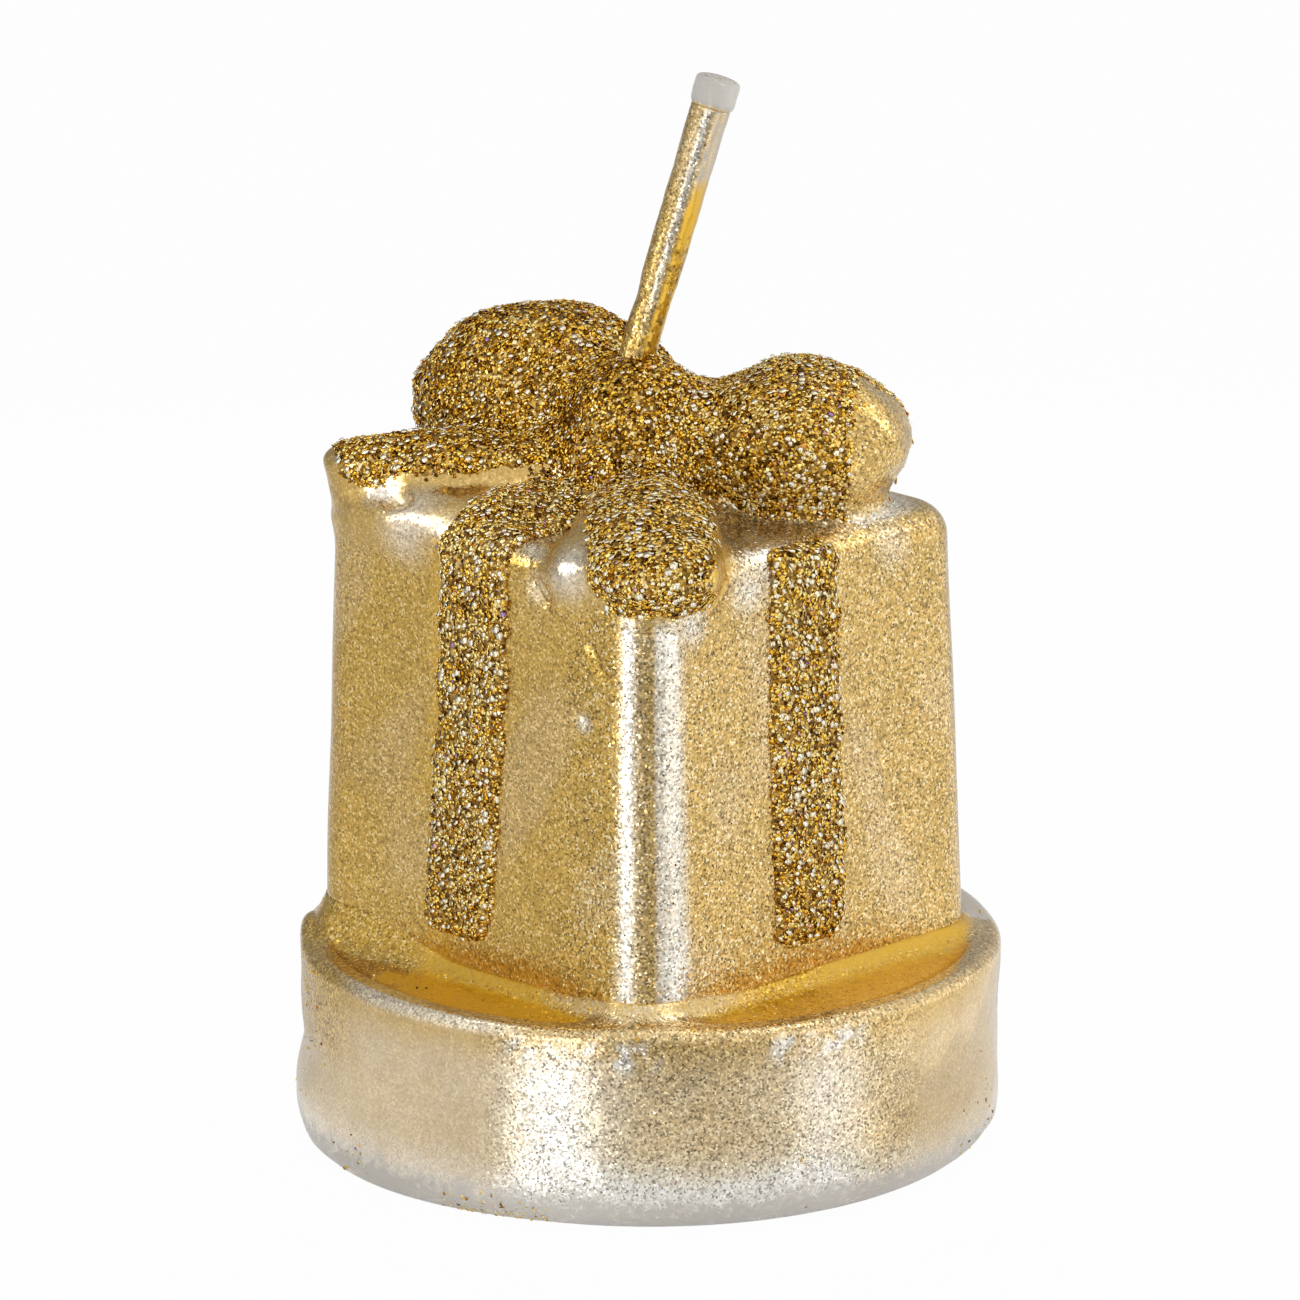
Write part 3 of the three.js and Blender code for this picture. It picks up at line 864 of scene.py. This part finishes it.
def glitterOn(name, points):
    x, y, z = points.T
    rough = 0.35 * wobble(points, 1.5, 51) + 0.25 * wobble(points, 0.7, 52)
    if name == "bow_loop_right":
        # the outer end is bare but for its far rim
        inside = 11.0 - x + 0.5 * rough + 3.4 * smooth(y, -1.9, -0.6) - 0.5 * smooth(z, 41.5, 39.5)
        hangs = y + 5.4 + 1.7 * hump(x, 7.8, 2.3) + 0.3 * rough
        drips = smooth(hangs, -0.1, 0.1) * smooth(z, 34.5, 34.9)
        return smooth(inside, -0.15, 0.15) * np.maximum(smooth(z + 0.3 * rough, 35.7, 36.0), drips)
    if name == "bow_tail_left":
        # glitter along the ridge, over the end, and bare wax on the slope to the front
        edge = 37.3 + 0.35 * smooth(x, -9.5, -5.5) - 0.9 * hump(x, -15.0, 1.3) + 3 * smooth(x, -16.5, -17.0)
        return smooth(z - edge + 1.6 * smooth(y, -2.2, -0.6) + 0.5 * rough, -0.15, 0.15)
    if name == "bow_tail_front":
        inside = np.minimum(3.25 - x, x + 3.3 - 1.2 * smooth(z, 34.8, 33.2)) + 0.35 * rough
        return smooth(inside, -0.15, 0.15) * smooth(z + 0.3 * rough, 32.7, 33.1)
    spot = length(points - bareSpot["at"]) - bareSpot["radius"] + 0.3 * rough
    return smooth(z + 0.3 * rough, 35.9, 36.4) * smooth(spot, -0.1, 0.1)


def bowPiece(name):
    # each lump of the piece has its own skin, drawn out to the surface of the melted-together wax
    every, shells, owned, base = [], [], [], 0
    reach = fillets["cover"] + fillets["farther"] * (name == "bow_loop_right")
    for lump in lumps[name]:
        first = lump is lumps[name][0]
        rings, around = (46, 80) if first else (28, 48)
        points, shell = lumpMesh(lump, rings * detail, around * detail)
        points = settle(points, lambda spots: lumpField(spots, lump), waxField, reach, steps=20)
        own = lumpField(points, lump)
        others = [lumpField(points, other) for other in lumps[name] if other is not lump]
        mine = smooth(np.min(others, axis=0) - own, -0.05, 0.05) if others else np.ones(len(points))
        # the skin that is covered by another lies a little lower
        every.append(points - outward(points, waxField) * 0.02 * (1 - mine)[:, None])
        shells.append([faces + base for faces in shell])
        owned.append(mine)
        base += len(points)
    return np.concatenate(every), shells, np.concatenate(owned)


def bowTones(name, points):
    # pooled, pale with painted highlights, and grainy: the bow's own wax above, the box's below
    x = points[:, 0]
    # painted highlights, the same silver spots as on the box
    highlightPaint = paintedHighlightAt(points)
    amber = 0.6 * band(x, 2.4, 3.2, 4.5, 5.5) * (name == "bow_tail_front")
    grainy = 0.38 + 0.3 * highlightPaint + 0.6 * (name == "bow_loop_right")
    onBox = smooth(pieceField(name, points), 0.3, 1.2)
    tones = (amber * (1 - highlightPaint), np.maximum(0.08, highlightPaint), grainy)
    return [own * (1 - onBox) + other * onBox for own, other in zip(tones, boxTones(points))]


glitterBeds = {}
for name in lumps:
    points, shells, owned = bowPiece(name)
    coated = glitterOn(name, points)
    pool, pale, grain = bowTones(name, points)
    marks = finishAndLightMarks(len(points), pool=pool, pale=pale, glue=coated, grain=grain)
    label = pieceLabel(name)
    every = [faces for shell in shells for faces in shell]
    makePiece(label + "Wax", points, every, lacquer, marks, [name])
    quads = np.concatenate([shell[0] for shell in shells])
    glitterBeds[label + "Glitter"] = (points, quads, coated * exposure(points) * owned)
print("bow ready")

# Ribbons down the four faces
ribbon = {"width": 4.4, "thick": 0.42, "sunk": 0.15, "bottom": 2.1, "step": 0.32 / detail, "ragged": 0.192}
ribbonFaces = {
    # which way it faces, how far it wraps the top edge and runs on; then its shift, drift and extra width
    "ribbon_front_left": (225, 90, 7.0, 0.05, -0.0029, 0.55),
    "ribbon_front_right": (315, 55, 0, -0.6, 0, 0.75),
    "ribbon_back_right": (45, 90, 7.0, 0, 0, 0),
    "ribbon_back_left": (135, 55, 0, 0, 0, 0),
}


def ribbonPath(wrap, onTop):
    # distance out from the box's axis and height, from the ribbon's foot to its end on top
    edge = box["height"] - box["topRound"]
    centre = box["top"] / 2 - box["topRound"]
    path = [(boxSide(h) / 2, h) for h in np.arange(ribbon["bottom"], edge, ribbon["step"])]
    arc = radians(wrap)
    for a in np.linspace(0, arc, max(4, int(arc * box["topRound"] / ribbon["step"]))):
        path.append((centre + box["topRound"] * cos(a), edge + box["topRound"] * sin(a)))
    for run in np.arange(ribbon["step"], onTop, ribbon["step"]):
        path.append((centre - run, box["height"]))
    return np.array(path)


def ribbonMesh(faces, wrap, onTop, shift, drift, wider, seed):
    path = ribbonPath(wrap, onTop)
    turn = radians(faces)
    out = np.array([cos(turn), sin(turn), 0])
    across = np.array([-sin(turn), cos(turn), 0])
    drop = np.maximum(0, box["height"] - box["topRound"] - path[:, 1])
    columns = int(ribbon["width"] / ribbon["step"]) + 1
    t = np.linspace(-1, 1, columns)
    travel = np.concatenate([[0], np.cumsum(length(np.diff(path, axis=0)))])
    line = np.column_stack([travel, np.zeros(len(travel)), np.full(len(travel), seed)])
    fromEnds = np.minimum(travel, travel[-1] - travel) if onTop == 0 else travel
    ends = np.sqrt(np.clip(1 - (1 - np.clip(fromEnds / 1.1, 0, 1)) ** 2, 0.05, 1))
    half = (ribbon["width"] + wider) / 2 * (0.62 + 0.38 * ends)
    leftHalf = half + ribbon["ragged"] * wobble(line, 2.3, seed)
    rightHalf = half + ribbon["ragged"] * wobble(line, 2.3, seed + 1)
    wide = np.where(t[None] < 0, leftHalf[:, None], rightHalf[:, None]) * t[None]
    sideways = wide + (shift + drift * drop**2)[:, None]
    middle = np.array([box["offset"], 0, box["standsAt"]])
    upwards = path[:, None, 1:] * (0, 0, 1)
    rows = middle + path[:, None, :1] * out + upwards + sideways[..., None] * across
    flat = rows.reshape(-1, 3)
    base = settle(flat, boxField, waxField, fillets["cover"])
    normal = outward(base, waxField)
    crown = np.sqrt(np.clip(1 - np.abs(t) ** 5, 0, 1))[None] * ends[:, None]
    lumpy = 1 + 0.25 * wobble(base, 1.1, seed + 2).reshape(crown.shape)
    raised = base + normal * (ribbon["thick"] * crown * lumpy).reshape(-1, 1)
    sunk = base - normal * ribbon["sunk"]
    n, m = crown.shape
    index = np.arange(n * m).reshape(n, m)
    a, b, c, d = index[:-1, :-1], index[:-1, 1:], index[1:, 1:], index[1:, :-1]
    topQuads = np.stack([a, b, c, d], -1).reshape(-1, 4)
    lowQuads = topQuads[:, ::-1] + n * m
    rim = np.concatenate([index[0], index[1:, -1], index[-1, -2::-1], index[-2:0:-1, 0]])
    after = np.roll(rim, -1)
    rimQuads = np.stack([rim, rim + n * m, after + n * m, after], 1)
    coated = np.concatenate([np.ones(n * m), np.zeros(n * m)])
    return np.concatenate([raised, sunk]), topQuads, [lowQuads, rimQuads], coated


for number, (name, form) in enumerate(ribbonFaces.items()):
    points, quads, others, coated = ribbonMesh(*form, 60 + 10 * number)
    marks = finishAndLightMarks(len(points), pool=0.4, glue=1)
    label = pieceLabel(name)
    makePiece(label + "Wax", points, [quads, *others], lacquer, marks, [name])
    glitterBeds[label + "Glitter"] = (points, quads, coated * smooth(nearBow(points), -0.5, 0.0))
print("ribbons ready")

# Glitter: small square foils and fewer, bigger hexagonal ones, each a closed chip lying at its own tilt
share = 1
flakes = {
    "grains": {"corners": 4, "across": 0.235, "perSquare": 22, "tilt": 0.34, "lift": 0.05, "lookUp": 0.05},
    "sparkles": {"corners": 6, "across": 0.31, "perSquare": 1, "tilt": 0.16, "lift": 0.13, "lookUp": 0.35},
}
foilThick = 0.03
foilTones = np.array([
    (0.12, 0.036, 0.001), (0.30, 0.12, 0.003), (0.55, 0.26, 0.010), (0.86, 0.47, 0.030),
    (1.0, 0.62, 0.07), (1.0, 0.72, 0.15), (1.0, 0.83, 0.38),
])
brightFoil = (1.0, 0.91, 0.70)
rareFoils = np.array([(0.75, 0.33, 0.08), (0.75, 0.42, 0.40), (0.36, 0.22, 0.42), (0.82, 0.88, 0.92)])
rareShare = 0.03


def scatter(points, quads, weight, density, rng):
    a, b, c, d = (points[quads[:, k]] for k in range(4))
    first, second = np.cross(b - a, c - a), np.cross(c - a, d - a)
    area = (length(first) + length(second)) / 2 * weight[quads].mean(1)
    number = int(area.sum() * density)
    pick = rng.choice(len(quads), number, p=area / area.sum())
    s, t = rng.random((number, 1)), rng.random((number, 1))
    spot = (a[pick] * (1 - s) + b[pick] * s) * (1 - t) + (d[pick] * (1 - s) + c[pick] * s) * t
    return spot, unit((first + second)[pick])


def foilColors(spots, bright, toneAndLight, rng):
    number = len(spots)
    tone = rng.beta(0.85, 0.85 / toneAndLight, number) + 0.13 * wobble(spots, 3.2, 81)
    place = np.clip(tone, 0, 0.9999) * (len(foilTones) - 1)
    low = place.astype(int)
    part = (place - low)[:, None]
    colors = foilTones[low] * (1 - part) + foilTones[low + 1] * part
    if bright:
        colors = rng.uniform(0.8, 1.0, (number, 1)) * brightFoil
    rare = rng.random(number) < rareShare
    colors[rare] = rareFoils[rng.choice(4, rare.sum(), p=(0.45, 0.25, 0.12, 0.18))]
    return np.column_stack([colors, np.ones(number)])


def flakeMesh(spots, normals, look, bright, toneAndLight, rng):
    number, n = len(spots), look["corners"]
    facing = unit(normals + rng.normal(0, look["tilt"], (number, 3)) + (0, 0, look["lookUp"]))
    first = unit(np.cross(facing, rng.normal(size=(number, 3))))
    second = np.cross(facing, first)
    radius = look["across"] / 2 * np.clip(rng.normal(1, 0.2, (number, 1, 1)), 0.55, 1.6)
    angle = around(n)
    rim = first[:, None] * np.cos(angle)[None, :, None] + second[:, None] * np.sin(angle)[None, :, None]
    centre = spots + normals * (look["lift"] * rng.uniform(0.1, 1.6, (number, 1)))
    half = facing[:, None] * foilThick / 2
    flat = centre[:, None] + rim * radius
    points = np.concatenate([flat + half, flat - half], 1)
    base = (np.arange(number) * 2 * n)[:, None]
    k = np.arange(n)
    lids = np.concatenate([base + k[None], base + (2 * n - 1 - k)[None]])
    sides = np.stack([k, k + n, (k + 1) % n + n, (k + 1) % n], 1)
    walls = (base[:, None] + sides[None]).reshape(-1, 4)
    return points.reshape(-1, 3), [lids, walls], np.repeat(foilColors(spots, bright, toneAndLight, rng), 2 * n, 0)


# how light each piece's grains are, on the whole; partly painted light: the left-front ribbon's grains are
# made lighter against the shade on that side
toneAndLightByPiece = {
    "bowKnotGlitter": 0.8, "bowLoopLeftGlitter": 1.1, "bowTailLeftGlitter": 1.3, "bowTailFrontGlitter": 2.2,
    "bowLoopRightGlitter": 2.1, "ribbonFrontLeftGlitter": 2.9, "ribbonFrontRightGlitter": 2.3,
}
glitterBeds["footGlitter"] = footSpecks
total = 0
for number, (label, (points, quads, weight)) in enumerate(glitterBeds.items()):
    rng = np.random.default_rng(200 + number)
    toneAndLight = toneAndLightByPiece.get(label, 1.6)
    chips, polygons, colors, base = [], [], [], 0
    for kind, look in flakes.items():
        bright = kind == "sparkles"
        density = look["perSquare"] * share * (toneAndLight if bright else 1)
        spots, normals = scatter(points, quads, weight, density, rng)
        corners, faces, tones = flakeMesh(spots, normals, look, bright, toneAndLight, rng)
        chips.append(corners)
        polygons += [face + base for face in faces]
        colors.append(tones)
        base += len(corners)
        total += len(spots)
    foil = {"foil": np.concatenate(colors)}
    makePiece(label, np.concatenate(chips), polygons, glitter, foil)
print("glitter ready", total, "flakes")

# Wick
wick = {
    "exit": (-0.66, -0.5, 43.2), "lean": 16.2, "length": 15.5, "radius": 0.97, "endRadius": 1.07,
    "tipLength": 1.7, "tipRadius": 1.2, "buried": 1.3,
}
lean = radians(wick["lean"])
wickAlong = np.array([sin(lean), 0, cos(lean)])
wickSide = np.array([cos(lean), 0, -sin(lean)])
wickBack = np.array([0, 1, 0])
exitPoint = np.array(wick["exit"])
coatTop = wick["length"] - wick["tipLength"]


def alongWick(points):
    # how far up the wick, and which way out from its middle
    heights = (points - exitPoint) @ wickAlong
    return heights, unit(points - exitPoint - heights[:, None] * wickAlong)


def wickTube(low, high, radiusAt, rings, count, relief):
    turn = around(count)
    ray = np.cos(turn)[:, None] * wickSide + np.sin(turn)[:, None] * wickBack
    points = [exitPoint + wickAlong * h + radiusAt(h) * ray for h in np.linspace(low, high, rings)]
    points = np.concatenate(points)
    bump = relief * (wobble(points, 2.4, 71) + 0.5 * wobble(points, 0.8, 72))
    points = points + alongWick(points)[1] * bump[:, None]
    return capped(points, rings, count, points[:count].mean(0), points[-count:].mean(0))


def coatRadius(height):
    grown = wick["radius"] + (wick["endRadius"] - wick["radius"]) * max(height, 0) / coatTop
    return grown - 0.05 * hump(height, 3.0, 1.1) + 0.03 * hump(height, 6.0, 0.9)


points, shell = wickTube(-wick["buried"], coatTop + 0.1, coatRadius, 110 * detail, 40 * detail, 0.018)
heights, side = alongWick(points)
toRight, toFront = side @ wickSide, -(side @ wickBack)
# pooled amber at the right, worn near the tip, a painted highlight streak up the front, glitter stains lower
# down
smoothSide = smooth(toRight + 0.1 * wobble(points, 1.2, 75), 0.12, 0.4)
highlightStreak = hump(toRight, -0.10, 0.22) * smooth(toFront, 0.3, 0.8) * smooth(heights, 0.5, 5)
upper = smooth(heights + 0.4 * wobble(points, 1.5, 77), 8.0, 10.5)
bare = 0.55 * smoothSide * upper
pool = smoothSide * (0.72 - 0.5 * upper)
pale = 0.3 * smoothSide * upper + (0.05 + 0.15 * upper + 0.65 * highlightStreak) * (1 - smoothSide)
stain = (0.50 + 0.05 * wobble(points, 1.0, 76)) * smooth(heights, 9.5, 6.0)
stain = stain * (0.88 + 0.12 * smoothSide) * (1 - 0.4 * highlightStreak)
marks = finishAndLightMarks(len(points), bare=bare, pool=pool, pale=pale, glue=stain, grain=1.1 - smoothSide)
wickCoat = makePiece("wickCoatWax", points, shell, lacquer, marks, ["wick_wax_coat"], body=None)
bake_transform(wickCoat)


def tipRadius(height):
    t = (height - coatTop) / wick["tipLength"]
    ends = sqrt(max(0.0, 1 - abs(2 * t - 1) ** 8))
    return 0.55 + (wick["tipRadius"] - 0.55) * ends * (0.97 + 0.03 * t)


points, shell = wickTube(coatTop, wick["length"] + 0.02, tipRadius, 40 * detail, 40 * detail, 0.03)
heights = alongWick(points)[0]
end = smooth(heights, wick["length"] - 0.25, wick["length"])
rust = smooth(heights, coatTop + 0.55, coatTop + 0.1)
bare = 1 - 0.45 * end - 0.55 * rust
marks = finishAndLightMarks(len(points), bare=bare, pool=0.3 + 0.6 * rust, pale=0.95 - 0.6 * rust)
makePiece("wickTipWax", points, shell, lacquer, marks, ["wick_tip"], body="wick")
print("wick ready")

# What stays from the CAD: the cotton braid and the tin holder
cotton, tree = newMaterial("cottonBraid")
place = ownPlace(tree)
laid = {"Vector": place, "Scale": 900, "Distortion": 2.0}
strands = addNode(tree, "TexWave", laid, bands_direction="DIAGONAL").outputs[0]
fuzz = bumped(tree, strands, 0.6, 0.0001)
thread = mixColor(tree, strands, (0.62, 0.55, 0.42, 1), (0.86, 0.82, 0.72, 1))
surfaceOf(tree, "BsdfPrincipled", {
    "Base Color": thread, "Roughness": 0.9, "Sheen Weight": 0.3, "Normal": fuzz,
})

tin, tree = newMaterial("stampedTin")
place = ownPlace(tree)
shifted = workedVector(tree, "ADD", place, (-cordHole["x"] * mm, -cordHole["y"] * mm, 0))
pressed = addNode(tree, "TexWave", {"Vector": shifted, "Scale": 210}, wave_type="RINGS", rings_direction="Z")
scuffs = noise(tree, place, 900, 5)
ridge = bumped(tree, pressed.outputs[0], 0.5, 0.0002)
shade = mixColor(tree, scuffs, (0.42, 0.42, 0.43, 1), (0.70, 0.70, 0.72, 1))
rough = mapped(tree, scuffs, 0.3, 0.7, 0.22, 0.42)
surfaceOf(tree, "BsdfPrincipled", {"Base Color": shade, "Metallic": 1.0, "Roughness": rough, "Normal": ridge})

for name, material in (("wick_cord_buried", cotton), ("wick_cord_free", cotton), ("wick_sustainer", tin)):
    for spot in bpy.data.objects[name].material_slots:
        spot.material = material
